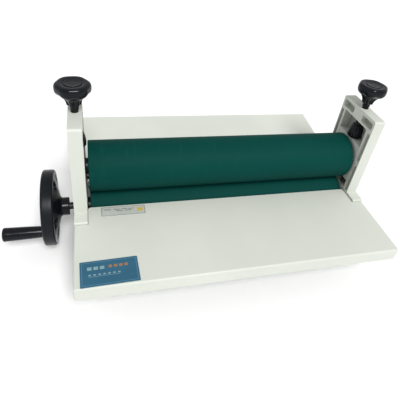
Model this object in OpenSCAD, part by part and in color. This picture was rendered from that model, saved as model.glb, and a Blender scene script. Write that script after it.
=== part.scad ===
// Desktop cold roll laminator, hand cranked, in millimetres.
// X runs along the rollers, Y from the feed side to the delivery side, Z up from the bench.
// Machine axes: X = 0 midway between the side frames, Y = 0 in the plane of both roller axes.
// place() moves the machine so that the origin is the bottom centre of its bounding box.

/* [Rollers] */
// Length of the rubber face of each roller
roller_face = 350; // [250:10:450]
// Outer diameter of each roller
roller_d = 63; // [60:0.5:63]
// Thickness of the rubber cover on each roller
rubber_t = 6; // [3:0.5:8]
// Gap left at the nip when both screws are down
nip_gap = 0.3; // [0.2:0.1:0.5]
// Diameter of the roller journals
journal_d = 14; // [12:1:15]

/* [Side frames] */
// Thickness of each side frame
frame_t = 15.1; // [15:0.1:17]
// Space between a roller end and the side frame
end_gap = 3.75; // [3:0.25:5]
// Height of the top of the side frames above the bench
frame_top = 195.5; // [195:0.5:200]
// Depth of the upright column of a side frame
column_depth = 77; // [76:0.5:80]
// Depth of the shoulder that the feed table is notched round
shoulder_depth = 113.6; // [110:0.2:116]
// Height of the lower roller axis above the bench
lower_axis_z = 55.8; // [55:0.1:57]
// Depth of the base bar between its outer ends
base_depth = 180; // [170:2:200]

/* [Tables] */
// Height of the feed table above the bench
table_z = 76; // [75:0.5:77]
// Depth of the turned-down edge of the tables
fold_h = 17.1; // [14:0.1:20]
// Distance from the roller plane to the feed table front edge
feed_reach = 147; // [130:1:170]
// Distance from the roller plane to the delivery table rear edge
delivery_reach = 157; // [140:1:170]
// Upward tilt of the delivery table
delivery_tilt = 6.8; // [5:0.1:7]
// Thickness of the table sheet
sheet_t = 1.5; // [1:0.1:1.8]

/* [Pressure screws] */
// Diameter of the star knobs
knob_d = 38.8; // [36:0.2:42]
// Number of lobes round a star knob
knob_lobes = 6; // [5:1:8]
// Turn of the left knob at rest
left_knob_turn = 6; // [0:1:359]
// Turn of the right knob at rest
right_knob_turn = 350; // [345:1:355]
// Diameter of the pressure screws
screw_d = 8; // [7:0.5:8]
// Lift of the upper roller with the screws backed off
lift = 7.5; // [3:0.5:7.5]
// Outer diameter of the spring cups
cup_d = 21; // [20:0.5:22]

/* [Hand crank] */
// Diameter of the handwheel
wheel_d = 96; // [90:1:98]
// Width of the handwheel rim
rim_w = 14.2; // [12:0.2:16]
// Radius at which the crank grip turns
crank_r = 30; // [28:0.5:31]
// Angle of the grip about the shaft, from the delivery side upwards
crank_angle = 221.4; // [0:0.2:360]
// Length of the crank grip
grip_len = 47; // [40:0.5:60]

/* [Hidden] */
$fn = 64;
eps = 0.01;

// Colours
white_paint = [0.88, 0.89, 0.85];
cast_grey = [0.76, 0.77, 0.74];
roller_green = [0.06, 0.29, 0.26];
black_plastic = [0.09, 0.10, 0.12];
bright_steel = [0.72, 0.72, 0.73];
dark_steel = [0.30, 0.30, 0.32];
bronze = [0.72, 0.56, 0.33];
brass = [0.80, 0.66, 0.36];
plate_blue = [0.24, 0.44, 0.56];
label_white = [0.93, 0.94, 0.92];
rubber_black = [0.07, 0.07, 0.07];

// Rollers and side frames
roller_r = roller_d / 2;
core_r = roller_r - rubber_t;
journal_r = journal_d / 2;
upper_axis_z = lower_axis_z + roller_d + nip_gap;
face_end = roller_face / 2;
inner_x = face_end + end_gap;
outer_x = inner_x + frame_t;
mid_x = inner_x + frame_t / 2;
running_gap = 0.05;
column_half = column_depth / 2;
shoulder_half = shoulder_depth / 2;
shoulder_z = table_z + 3.1;
base_half = base_depth / 2;
foot_h = 8;
base_bar_h = 14;
base_bar_w = 22;
base_bar_top = foot_h + base_bar_h;
leg_top = table_z - fold_h - 1;
column_corner_r = 3;
feet_y = base_half - 14;

// Chamber in the side frame, where the bearing block slides
chamber_half = 27.5;
chamber_depth = frame_t - 2;
chamber_z0 = table_z + 4;
chamber_z1 = frame_top - 17.5;
rib_t = 3;
side_pocket_y0 = chamber_half + 3.8;
side_pocket_y1 = column_half - 1.7;
side_pocket_depth = 8;
top_pocket_y0 = 10;
top_pocket_y1 = column_half - 3.5;
top_pocket_depth = 7;
lower_pocket = [[18, base_bar_top + 4], [38, lower_axis_z + 4]];

// Bearing blocks
slide_gap = 0.2;
block_half = chamber_half - slide_gap;
block_x0 = inner_x + 0.2;
block_x1 = inner_x + chamber_depth - slide_gap;
block_z0 = chamber_z0 + 12;
block_z1 = table_z + 74.2;
spigot_r = 2.5;
spigot_h = 4;

// Bushes
lower_bush_r = 10;
upper_bush_r = 11;
thread_bush_r = 5.9;
thread_bush_h = 9.5;
thread_bush_top = frame_top - 2;
screw_clearance_r = 4.4;

// Springs
lift_spring_y = 16;
lift_spring_r = 3.6;
lift_spring_wire = 1.2;
lift_seat_r = 4.8;
lift_seat_depth = 6;
lift_spring_x = inner_x + 6.5;
pressure_spring_r = 3.5;
pressure_spring_wire = 1.4;

// Pressure screw, cup and knob
screw_r = screw_d / 2;
tip_r = 3;
cup_r = cup_d / 2;
cup_z0 = block_z1 + 1.5;
cup_shoulder_z = chamber_z1 - lift - 0.3;
cup_neck_r = 5;
cup_neck_z = cup_shoulder_z + 3.7;
cup_ceiling_z = cup_shoulder_z - 3.2;
cup_cavity_r = 4.5;
cup_flat_x = inner_x + chamber_depth - slide_gap;
screw_shoulder_z = cup_neck_z + 0.3;
clip_t = 1.2;
clip_z = cup_ceiling_z - 2;
clip_r = 4.2;
tip_z = clip_z - 0.8;
knob_r = knob_d / 2;
knob_z0 = frame_top + 3;
knob_neck_r = 5;
knob_collar_r = 6.9;
knob_collar_z = frame_top + 10;
knob_skirt_z = frame_top + 22.7;
knob_z1 = frame_top + 34.5;
knob_recess_r = 9.8;
knob_recess_depth = 1.6;
knob_hollow_r = 7;
knob_hollow_depth = 2.3;
knob_bore_top = knob_z1 - 10;
screw_top = knob_bore_top - 1;

// Handwheel: the a_ values are distances outwards from the left side frame
wheel_r = wheel_d / 2;
rim_inner_r = wheel_r - 7.5;
a_rim = 23.6;
a_rim_end = a_rim + rim_w;
a_hub = 7.7;
a_hub_end = 34;
a_web_hub = 17.6;
a_web_rim = 26.6;
web_t = 4.5;
hub_r = 11.5;
shaft_r = 4.6;
spindle_boss_r = 8;
a_boss_end = a_rim_end + 0.8;
wheel_bolt_r = 2.5;
spindle_r = 4;
spindle_thread_r = 3;
a_grip = a_boss_end + 0.5;
a_grip_end = a_grip + grip_len;
grip_head_r = 5.4;
grip_head_seat = 5;
set_screw_r = 2.5;
opening_r = 7;
opening_at = rim_inner_r - 8.2;
nut_r = 5.7;
nut_pocket_r = 6.2;
a_nut = a_rim + 2.5;
nut_h = 5;

// Tables
table_half = outer_x + 0.3;
bend_r = 2;
table_gap = 0.4;
feed_rear_y = -28;
delivery_front_y = 28;
delivery_pivot = [39.5, table_z + 5.5];
tongue_corner_r = 3.5;
stud_x = 110;
stud_r = 2.5;
stud_y = 47;
bar_w = 14;
bar_h = 16;
rod_y = 66;
rod_z = 34;
rod_r = 6;
frame_screw_r = 3;
screw_head_r = 5.2;
screw_head_h = 5.5;
screw_reach = 14;

// Bounding box, for the origin
x_right = mid_x + knob_r;
x_left = outer_x + a_grip_end;
box_mid_x = (x_right - x_left) / 2;
delivery_edge_y = delivery_pivot[0] + (delivery_reach - delivery_pivot[0]) * cos(delivery_tilt)
    + bend_r * (1 - cos(delivery_tilt));
box_mid_y = (delivery_edge_y - feed_reach) / 2;

// ---- Helpers ----

// Moves the machine onto the origin of the part
module place() {
    translate([-box_mid_x, -box_mid_y, 0]) children();
}

// Draws the children on the right (side = 1) or mirrored on the left (side = -1)
module on_side(side) {
    if (side > 0) children();
    else mirror([1, 0, 0]) children();
}

// Children in the plane of Y and Z, given thickness t towards +X from x
module yz_slab(x, t) {
    translate([x, 0, 0]) rotate([90, 0, 90]) linear_extrude(t) children();
}

// Rod along X from x0 to x1
module rod_x(x0, x1, r) {
    translate([x0, 0, 0]) rotate([0, 90, 0]) cylinder(h = x1 - x0, r = r);
}

// Flat rectangle with round corners, between two opposite corners
module round_rect(a, b, r) {
    translate([a[0] + r, a[1]]) square([b[0] - a[0] - 2 * r, b[1] - a[1]]);
    translate([a[0], a[1] + r]) square([b[0] - a[0], b[1] - a[1] - 2 * r]);
    for (u = [a[0] + r, b[0] - r], v = [a[1] + r, b[1] - r]) {
        translate([u, v]) circle(r);
    }
}

// Local Z pointing outwards from the left side frame, on the lower roller axis
module on_crank_axis() {
    translate([-outer_x, 0, lower_axis_z]) rotate([0, -90, 0]) children();
}

// Local Z pointing outwards, on the axis of the crank grip
module on_grip_axis() {
    translate([0, crank_r * cos(crank_angle), crank_r * sin(crank_angle)]) on_crank_axis() children();
}

// Ring positions of a helical spring: centre line, then the wire section
function coil_point(r, wire, length, turns, t, a) =
    let (turn = 360 * turns * t, rr = r + wire / 2 * cos(a))
    [rr * cos(turn), rr * sin(turn), wire / 2 + (length - wire) * t + wire / 2 * sin(a)];

// Helical compression spring standing on z = 0
module coil_spring(r, wire, length, turns) {
    sides = 8;
    rings = turns * 14;
    points = [for (i = [0:rings], j = [0:sides - 1])
        coil_point(r, wire, length, turns, i / rings, 360 * j / sides)];
    walls = [for (i = [0:rings - 1], j = [0:sides - 1])
        let (k = (j + 1) % sides)
        [i * sides + j, i * sides + k, (i + 1) * sides + k, (i + 1) * sides + j]];
    start = [for (j = [sides - 1:-1:0]) j];
    finish = [for (j = [0:sides - 1]) rings * sides + j];
    polyhedron(points, concat([start], walls, [finish]), convexity = 10);
}

// ---- Side frames ----

// Outline of a side frame: column, shoulder and splayed legs
module frame_outline() {
    round_rect([-column_half, leg_top - 20], [column_half, frame_top], column_corner_r);
    round_rect([-shoulder_half, leg_top - 20], [shoulder_half, shoulder_z], 2);
    polygon([
        [-base_half + 4, foot_h + 2], [base_half - 4, foot_h + 2],
        [base_half - 4, base_bar_top], [shoulder_half, leg_top],
        [-shoulder_half, leg_top], [-base_half + 4, base_bar_top]
    ]);
}

// Hollows cast into the inner face of a side frame
module frame_hollows() {
    yz_slab(inner_x - eps, chamber_depth + eps)
        round_rect([-chamber_half, chamber_z0], [chamber_half, chamber_z1], 2);
    for (side = [-1, 1]) mirror([0, side < 0 ? 1 : 0, 0]) {
        yz_slab(inner_x - eps, side_pocket_depth)
            round_rect([side_pocket_y0, chamber_z0], [side_pocket_y1, upper_axis_z + 4], 2);
        yz_slab(inner_x - eps, side_pocket_depth)
            round_rect([side_pocket_y0, upper_axis_z + 12], [side_pocket_y1, chamber_z1 - 2], 2);
        yz_slab(inner_x - eps, top_pocket_depth)
            round_rect([top_pocket_y0, chamber_z1 + rib_t], [top_pocket_y1, frame_top - 4.5], 3);
        yz_slab(inner_x - eps, side_pocket_depth)
            round_rect(lower_pocket[0], lower_pocket[1], 3);
    }
}

module side_frame(side) {
    on_side(side) difference() {
        union() {
            yz_slab(inner_x, frame_t) frame_outline();
            // Base bar, wider than the frame so that the rubber feet fit under it
            translate([mid_x - base_bar_w / 2, 0, foot_h])
                rotate([0, 0, 90]) linear_extrude(base_bar_h)
                round_rect([-base_half, -base_bar_w], [base_half, 0], 5);
        }
        frame_hollows();
        // Seat of the lower bush
        translate([0, 0, lower_axis_z]) rod_x(inner_x - 1, outer_x + 1, lower_bush_r);
        // Bore for the thread bush, open below for the neck of the spring cup
        translate([mid_x, 0, chamber_z1 - 1])
            cylinder(h = thread_bush_top - chamber_z1 + 1, r = thread_bush_r);
        translate([mid_x, 0, chamber_z1]) cylinder(h = 20, r = screw_clearance_r);
        // Screws of the tie bars and tie rods, with counterbores
        for (hole = frame_screw_places) translate([0, hole[0], hole[1]]) {
            rod_x(inner_x - 1, outer_x + 1, frame_screw_r);
            rod_x(outer_x - screw_head_h, outer_x + 1, screw_head_r);
        }
        // Holes for the foot screws
        for (y = [-feet_y, feet_y]) translate([mid_x, y, foot_h - 1]) cylinder(h = 11, r = 2);
    }
}

module left_side_frame() { color(white_paint) place() side_frame(-1); }
module right_side_frame() { color(white_paint) place() side_frame(1); }

// ---- Tie bars, rods and their screws ----

// Point on the underside of the delivery table at distance y from the roller plane
function under_delivery(y) =
    delivery_pivot[1] + (y - delivery_pivot[0]) * tan(delivery_tilt) - sheet_t / cos(delivery_tilt);

front_bar_z = table_z - sheet_t - bar_h / 2;
rear_bar_z = under_delivery(stud_y) - bar_h / 2 * cos(delivery_tilt);
rear_bar_y = stud_y + bar_h / 2 * sin(delivery_tilt);
frame_screw_places = [
    [-stud_y, front_bar_z], [rear_bar_y, rear_bar_z], [-rod_y, rod_z], [rod_y, rod_z]
];

// Rectangular bar along X, with tapped ends and clearance holes for the table studs
module tie_bar() {
    difference() {
        translate([-inner_x, -bar_w / 2, -bar_h / 2]) cube([2 * inner_x, bar_w, bar_h]);
        for (side = [-1, 1]) on_side(side) {
            rod_x(inner_x - screw_reach, inner_x + 1, frame_screw_r);
            translate([stud_x, 0, -bar_h]) cylinder(h = 2 * bar_h, r = stud_r + 0.25);
        }
    }
}

module front_tie_bar() {
    color(dark_steel) place() translate([0, -stud_y, front_bar_z]) tie_bar();
}

module rear_tie_bar() {
    color(dark_steel) place() translate([0, rear_bar_y, rear_bar_z])
        rotate([delivery_tilt, 0, 0]) tie_bar();
}

module lower_tie_rods() {
    color(bright_steel) place() for (y = [-rod_y, rod_y]) translate([0, y, rod_z]) difference() {
        rod_x(-inner_x, inner_x, rod_r);
        for (side = [-1, 1]) on_side(side) rod_x(inner_x - screw_reach, inner_x + 1, frame_screw_r);
    }
}

// Socket head screw along X, its head in the counterbore of the frame
module frame_screw() {
    difference() {
        union() {
            rod_x(inner_x - screw_reach + 2, outer_x - screw_head_h + eps, frame_screw_r);
            rod_x(outer_x - screw_head_h, outer_x - 0.3, screw_head_r - 0.2);
        }
        translate([outer_x - 3.5, 0, 0]) rotate([0, 90, 0]) cylinder(h = 5, r = 2.9, $fn = 6);
    }
}

module frame_screws() {
    color(dark_steel) place() for (side = [-1, 1], hole = frame_screw_places)
        on_side(side) translate([0, hole[0], hole[1]]) frame_screw();
}

// ---- Tables ----

// Box with a square rear, its front and side edges rounded at radius r
module soft_box(half, y0, y1, h, r) {
    translate([-half + r, y0 + r, -h]) cube([2 * (half - r), y1 - y0 - r, h]);
    translate([-half, y0 + r, -h]) cube([2 * half, y1 - y0 - r, h - r]);
    translate([-half + r, y0, -h]) cube([2 * (half - r), y1 - y0, h - r]);
    translate([0, y0 + r, -r]) rod_x(-half + r, half - r, r);
    for (side = [-1, 1]) translate([side * (half - r), y0 + r, 0]) {
        translate([0, 0, -r]) rotate([-90, 0, 0]) cylinder(h = y1 - y0 - r, r = r);
        translate([0, 0, -r]) sphere(r);
        translate([0, 0, -h]) cylinder(h = h - r, r = r);
    }
}

// Table tray with turned-down front and sides, notched round the side frames.
// The outer edge is at y = -reach, the edge beside the roller at y = -inner_edge.
module table_tray(reach, inner_edge, notch) {
    tongue_x = inner_x - table_gap;
    difference() {
        soft_box(table_half, -reach, -inner_edge, fold_h, bend_r);
        translate([0, 0, -sheet_t])
            soft_box(table_half - sheet_t, -reach + sheet_t, -inner_edge + 1, fold_h, bend_r - sheet_t);
        for (side = [-1, 1]) on_side(side) {
            translate([tongue_x, -notch, -fold_h - 1]) cube([40, notch, fold_h + 2]);
            // Round corner beside the roller
            translate([tongue_x - tongue_corner_r, -inner_edge - tongue_corner_r, -5]) difference() {
                cube([tongue_corner_r + 1, tongue_corner_r + 1, 10]);
                translate([0, 0, -1]) cylinder(h = 12, r = tongue_corner_r);
            }
        }
    }
}

// Studs welded under a table, with their top at z = 0
module table_studs() {
    length = bar_h + 8;
    for (x = [-stud_x, stud_x]) translate([x, 0, -length]) cylinder(h = length + eps, r = stud_r);
}

// Flange nut on a table stud, pressed up against z = 0
module flange_nut() {
    difference() {
        union() {
            translate([0, 0, -1]) cylinder(h = 1, r = 6);
            translate([0, 0, -5]) cylinder(h = 5, r = 4.7, $fn = 6);
        }
        translate([0, 0, -6]) cylinder(h = 8, r = stud_r);
    }
}

module on_delivery_table() {
    translate([0, delivery_pivot[0], delivery_pivot[1]]) rotate([delivery_tilt, 0, 0])
        translate([0, -delivery_pivot[0], 0]) children();
}

module front_table() {
    color(white_paint) place() translate([0, 0, table_z]) {
        table_tray(feed_reach, -feed_rear_y, shoulder_half + table_gap);
        translate([0, -stud_y, -sheet_t]) table_studs();
    }
}

module rear_table() {
    color(white_paint) place() {
        on_delivery_table() mirror([0, 1, 0])
            table_tray(delivery_reach, delivery_front_y, shoulder_half + 3 * table_gap);
        translate([0, rear_bar_y, rear_bar_z]) rotate([delivery_tilt, 0, 0])
            translate([0, 0, bar_h / 2]) table_studs();
    }
}

module table_nuts() {
    color(bright_steel) place() for (x = [-stud_x, stud_x]) {
        translate([x, -stud_y, front_bar_z - bar_h / 2]) flange_nut();
        translate([x, rear_bar_y, rear_bar_z]) rotate([delivery_tilt, 0, 0])
            translate([0, 0, -bar_h / 2]) flange_nut();
    }
}

// Thin plates stuck to the feed table; their faces are blank
module thin_plate(centre, size, turn, t, r) {
    translate([centre[0], centre[1], table_z]) rotate([0, 0, turn])
        linear_extrude(t) round_rect(-size / 2, size / 2, r);
}

module info_plate() {
    color(plate_blue) place() thin_plate([-157.5, -128.6], [60.5, 33], 1.5, 0.6, 1);
}

module blank_label() {
    color(label_white) place() thin_plate([-136.5, -37.8], [53, 15.5], 0, 0.25, 1);
}

// ---- Feet ----

module rubber_feet() {
    color(rubber_black) place() for (x = [-mid_x, mid_x], y = [-feet_y, feet_y])
        translate([x, y, 0]) difference() {
            cylinder(h = foot_h, r1 = 9, r2 = 10);
            translate([0, 0, -1]) cylinder(h = 4.5, r = 5);
            cylinder(h = foot_h + 1, r = 2);
        }
}

module foot_screws() {
    color(bright_steel) place() for (x = [-mid_x, mid_x], y = [-feet_y, feet_y])
        translate([x, y, 0]) {
            translate([0, 0, 1]) cylinder(h = 2.5, r = 4);
            translate([0, 0, 3]) cylinder(h = foot_h + 5, r = 2);
        }
}

// ---- Bushes ----

// Flanged bush along X, its flange on the inside face at x0
module journal_bush(x0, x1, r) {
    difference() {
        rod_x(x0, x1, r);
        rod_x(x0 - 1, x1 + 1, journal_r + running_gap);
    }
}

module lower_bush(side) {
    color(bronze) place() on_side(side) translate([0, 0, lower_axis_z])
        journal_bush(inner_x, outer_x - 1, lower_bush_r);
}

module upper_bush(side) {
    color(bronze) place() on_side(side) translate([0, 0, upper_axis_z])
        journal_bush(block_x0, block_x1, upper_bush_r);
}

module left_lower_bush() { lower_bush(-1); }
module right_lower_bush() { lower_bush(1); }
module left_upper_bush() { upper_bush(-1); }
module right_upper_bush() { upper_bush(1); }

module thread_bush(side) {
    color(brass) place() on_side(side) translate([mid_x, 0, thread_bush_top - thread_bush_h])
        difference() {
            cylinder(h = thread_bush_h, r = thread_bush_r);
            translate([0, 0, -1]) cylinder(h = thread_bush_h + 2, r = screw_r + running_gap);
        }
}

module left_thread_bush() { thread_bush(-1); }
module right_thread_bush() { thread_bush(1); }

// ---- Lower roller and hand crank ----

module roller_cover(z) {
    color(roller_green) place() translate([0, 0, z]) difference() {
        rod_x(-face_end, face_end, roller_r);
        rod_x(-face_end - 1, face_end + 1, core_r);
    }
}

// Roller core with a shoulder and a journal at each end
module roller_body(journal_end) {
    rod_x(-face_end + 1, face_end - 1, core_r);
    for (side = [-1, 1]) on_side(side) {
        rod_x(face_end - 2, inner_x - 0.15, journal_r + 3);
        rod_x(face_end - 2, journal_end, journal_r);
    }
}

module lower_roller_cover() { roller_cover(lower_axis_z); }
module upper_roller_cover() { roller_cover(upper_axis_z); }

module lower_roller_core() {
    color(dark_steel) place() translate([0, 0, lower_axis_z]) difference() {
        union() {
            roller_body(outer_x - 1.5);
            rod_x(-outer_x - a_hub_end + 0.5, -outer_x + 3, shaft_r);
        }
        rod_x(-outer_x - a_hub_end - 1, -outer_x - a_hub_end + 16, wheel_bolt_r);
    }
}

module upper_roller_core() {
    color(dark_steel) place() translate([0, 0, upper_axis_z]) roller_body(block_x1 - 0.6);
}

// Section of the handwheel: rim, dished web and hub
module wheel_section() {
    round_rect([rim_inner_r, a_rim], [wheel_r, a_rim_end], 2.5);
    polygon([
        [hub_r - 2, a_web_hub], [rim_inner_r + 2, a_web_rim - web_t / 2],
        [rim_inner_r + 2, a_web_rim + web_t / 2], [hub_r - 2, a_web_hub + web_t + 3]
    ]);
    translate([shaft_r, a_hub]) square([hub_r - shaft_r, a_hub_end - a_hub]);
}

module handwheel() {
    color(black_plastic) place() difference() {
        union() {
            on_crank_axis() rotate_extrude() wheel_section();
            on_grip_axis() translate([0, 0, a_rim]) cylinder(h = a_boss_end - a_rim, r = spindle_boss_r);
        }
        // Openings in the web, 45 degrees either side of the grip and opposite
        for (k = [0:3]) on_crank_axis() rotate([0, 0, 45 - crank_angle + 90 * k])
            translate([opening_at, 0, a_web_hub]) cylinder(h = rim_w, r = opening_r);
        // Hole for the grip spindle, and the pocket for its nut
        on_grip_axis() {
            translate([0, 0, a_web_hub]) cylinder(h = 30, r = spindle_thread_r);
            translate([0, 0, a_web_hub]) cylinder(h = a_nut + nut_h - a_web_hub, r = nut_pocket_r);
        }
        on_set_screw() cylinder(h = hub_r + 1, r = set_screw_r);
    }
}

// Local Z pointing down from the shaft, through the hub's radial screw hole
module on_set_screw() {
    translate([-outer_x - a_hub - 5, 0, lower_axis_z]) rotate([180, 0, 0]) children();
}

module handwheel_set_screw() {
    color(dark_steel) place() on_set_screw() translate([0, 0, shaft_r + 0.1]) difference() {
        cylinder(h = 5, r = set_screw_r);
        translate([0, 0, 3]) cylinder(h = 3, r = 1.4, $fn = 6);
    }
}

module handwheel_washer() {
    color(bright_steel) place() on_crank_axis() translate([0, 0, a_hub_end]) difference() {
        cylinder(h = 1.5, r = 8);
        translate([0, 0, -1]) cylinder(h = 4, r = wheel_bolt_r);
    }
}

module handwheel_bolt() {
    color(bright_steel) place() on_crank_axis() {
        translate([0, 0, a_hub_end - 14]) cylinder(h = 15.5, r = wheel_bolt_r);
        translate([0, 0, a_hub_end + 1.5]) cylinder(h = 4, r = 4.7, $fn = 6);
    }
}

module grip_spindle() {
    color(bright_steel) place() on_grip_axis() {
        translate([0, 0, a_nut - 0.5]) cylinder(h = a_boss_end - a_nut + 0.5 + eps, r = spindle_thread_r);
        translate([0, 0, a_boss_end]) cylinder(h = a_grip_end - grip_head_seat - a_boss_end, r = spindle_r);
        translate([0, 0, a_grip_end - grip_head_seat]) cylinder(h = 3, r = grip_head_r);
    }
}

module spindle_nut() {
    color(dark_steel) place() on_grip_axis() translate([0, 0, a_nut]) difference() {
        cylinder(h = nut_h, r = nut_r, $fn = 6);
        translate([0, 0, -1]) cylinder(h = nut_h + 2, r = spindle_thread_r);
    }
}

// Section of the crank grip, thicker towards its free end, with a rounded end
module grip_section() {
    end_round = 2;
    polygon([
        [spindle_r + running_gap, a_grip], [6.6, a_grip], [7.2, a_grip + 0.8],
        [8.6, a_grip_end - end_round], [6.6, a_grip_end - end_round], [spindle_r + running_gap, a_grip_end - 8]
    ]);
    translate([6.6, a_grip_end - end_round]) circle(end_round);
    translate([grip_head_r + 0.3, a_grip_end - 7]) square([1.6, 7]);
}

module crank_grip() {
    color(black_plastic) place() on_grip_axis() difference() {
        rotate_extrude() grip_section();
        translate([0, 0, a_grip_end - grip_head_seat - 0.3]) cylinder(h = 9, r = grip_head_r + 0.3);
    }
}

// ---- Upper roller carriage ----

module bearing_block(side) {
    color(cast_grey) place() on_side(side) difference() {
        union() {
            yz_slab(block_x0, block_x1 - block_x0)
                round_rect([-block_half, block_z0], [block_half, block_z1], 1.5);
            // Spigot that centres the pressure spring
            translate([mid_x, 0, block_z1 - 1]) cylinder(h = spigot_h + 1, r = spigot_r);
        }
        translate([0, 0, upper_axis_z]) rod_x(block_x0 - 1, block_x1 + 1, upper_bush_r);
        for (y = [-lift_spring_y, lift_spring_y])
            translate([lift_spring_x, y, block_z0 - 1]) cylinder(h = lift_seat_depth + 1, r = lift_seat_r);
    }
}

module left_bearing_block() { bearing_block(-1); }
module right_bearing_block() { bearing_block(1); }

// Springs under the bearing block, which raise it when the screw is backed off
module lift_springs(side) {
    length = block_z0 + lift_seat_depth - chamber_z0;
    color(bright_steel) place() on_side(side) for (y = [-lift_spring_y, lift_spring_y])
        translate([lift_spring_x, y, chamber_z0])
        coil_spring(lift_spring_r, lift_spring_wire, length, 7);
}

module left_lift_springs() { lift_springs(-1); }
module right_lift_springs() { lift_springs(1); }

// Spring inside the cup, which presses the bearing block down
module pressure_spring(side) {
    color(bright_steel) place() on_side(side) translate([mid_x, 0, block_z1])
        coil_spring(pressure_spring_r, pressure_spring_wire, tip_z - block_z1 - 0.2, 6);
}

module left_pressure_spring() { pressure_spring(-1); }
module right_pressure_spring() { pressure_spring(1); }

// ---- Pressure screws ----

// Domed cup over the pressure spring, carried on the tip of the screw.
// The flat on its outer side runs on the frame web and keeps it from turning.
module spring_cup(side) {
    color(black_plastic) place() on_side(side) translate([mid_x, 0, 0]) difference() {
        rotate_extrude() {
            translate([0, cup_z0]) square([cup_r, 6]);
            polygon([
                [0, cup_z0 + 6], [cup_r, cup_z0 + 6], [cup_r - 0.9, cup_z0 + 11.5],
                [cup_r - 2.5, cup_shoulder_z - 1], [cup_r - 3.5, cup_shoulder_z], [0, cup_shoulder_z]
            ]);
            translate([0, cup_shoulder_z - eps]) square([cup_neck_r, cup_neck_z - cup_shoulder_z]);
        }
        translate([cup_flat_x - mid_x, -cup_r - 1, cup_z0 - 1])
            cube([cup_r, 2 * cup_r + 2, cup_shoulder_z - cup_z0 + 2]);
        translate([0, 0, cup_z0 - 1]) cylinder(h = cup_ceiling_z - cup_z0 + 1, r = cup_cavity_r);
        translate([0, 0, cup_z0]) cylinder(h = 40, r = tip_r + running_gap);
    }
}

module left_spring_cup() { spring_cup(-1); }
module right_spring_cup() { spring_cup(1); }

module pressure_screw(side) {
    color(dark_steel) place() on_side(side) translate([mid_x, 0, 0]) {
        translate([0, 0, tip_z]) cylinder(h = screw_shoulder_z - tip_z + eps, r = tip_r);
        translate([0, 0, screw_shoulder_z]) cylinder(h = screw_top - screw_shoulder_z, r = screw_r);
    }
}

module left_pressure_screw() { pressure_screw(-1); }
module right_pressure_screw() { pressure_screw(1); }

// Clip that keeps the cup on the tip of the screw
module cup_clip(side) {
    color(bright_steel) place() on_side(side) translate([mid_x, 0, clip_z]) difference() {
        cylinder(h = clip_t, r = clip_r);
        translate([0, 0, -1]) cylinder(h = clip_t + 2, r = tip_r);
    }
}

module left_cup_clip() { cup_clip(-1); }
module right_cup_clip() { cup_clip(1); }

// Star knob: neck, collar, flared underside and a rim with hollows for the fingers
module star_knob(side, turn) {
    rim_round = 2.6;
    color(black_plastic) place() translate([side * mid_x, 0, 0]) rotate([0, 0, turn]) difference() {
        rotate_extrude() {
            polygon([
                [0, knob_z0], [knob_neck_r, knob_z0], [knob_neck_r, knob_collar_z],
                [knob_collar_r, knob_collar_z + 0.8], [knob_collar_r, knob_collar_z + 2.6],
                [knob_r - 5, knob_skirt_z - 1], [knob_r - 3, knob_skirt_z + 1.5],
                [knob_r - 3, knob_z1 - 0.5], [0, knob_z1 - 0.5]
            ]);
            translate([knob_r - 8, 0]) round_rect([0, knob_skirt_z], [8, knob_z1], rim_round);
            translate([0, knob_z1 - 2]) square([knob_r - 6, 2]);
        }
        for (k = [0:knob_lobes - 1]) rotate([0, 0, 360 / knob_lobes * (k + 0.5)])
            translate([knob_r + knob_hollow_r - knob_hollow_depth, 0, knob_z0])
            cylinder(h = 40, r = knob_hollow_r);
        translate([0, 0, knob_z1 - knob_recess_depth]) cylinder(h = 5, r = knob_recess_r);
        translate([0, 0, knob_z0 - 1]) cylinder(h = knob_bore_top - knob_z0 + 1, r = screw_r);
    }
}

module left_star_knob() { star_knob(-1, left_knob_turn); }
module right_star_knob() { star_knob(1, right_knob_turn); }

// Plain disc that closes the top of the knob
module knob_cap(side) {
    color(black_plastic) place() on_side(side)
        translate([mid_x, 0, knob_z1 - knob_recess_depth]) cylinder(h = 1.4, r = knob_recess_r - 0.1);
}

module left_knob_cap() { knob_cap(-1); }
module right_knob_cap() { knob_cap(1); }

// ---- Output ----

left_side_frame();
right_side_frame();
front_table();
rear_table();
front_tie_bar();
rear_tie_bar();
lower_tie_rods();
frame_screws();
table_nuts();
rubber_feet();
foot_screws();
left_lower_bush();
right_lower_bush();
left_thread_bush();
right_thread_bush();
left_lift_springs();
right_lift_springs();
info_plate();
blank_label();
lower_roller_cover();
lower_roller_core();
handwheel();
handwheel_set_screw();
handwheel_washer();
handwheel_bolt();
grip_spindle();
spindle_nut();
crank_grip();
left_bearing_block();
right_bearing_block();
left_upper_bush();
right_upper_bush();
left_pressure_spring();
right_pressure_spring();
upper_roller_cover();
upper_roller_core();
left_spring_cup();
right_spring_cup();
left_star_knob();
right_star_knob();
left_knob_cap();
right_knob_cap();
left_pressure_screw();
right_pressure_screw();
left_cup_clip();
right_cup_clip();
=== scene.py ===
import math

import bmesh
import bpy
from mathutils import Matrix, Vector


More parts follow.
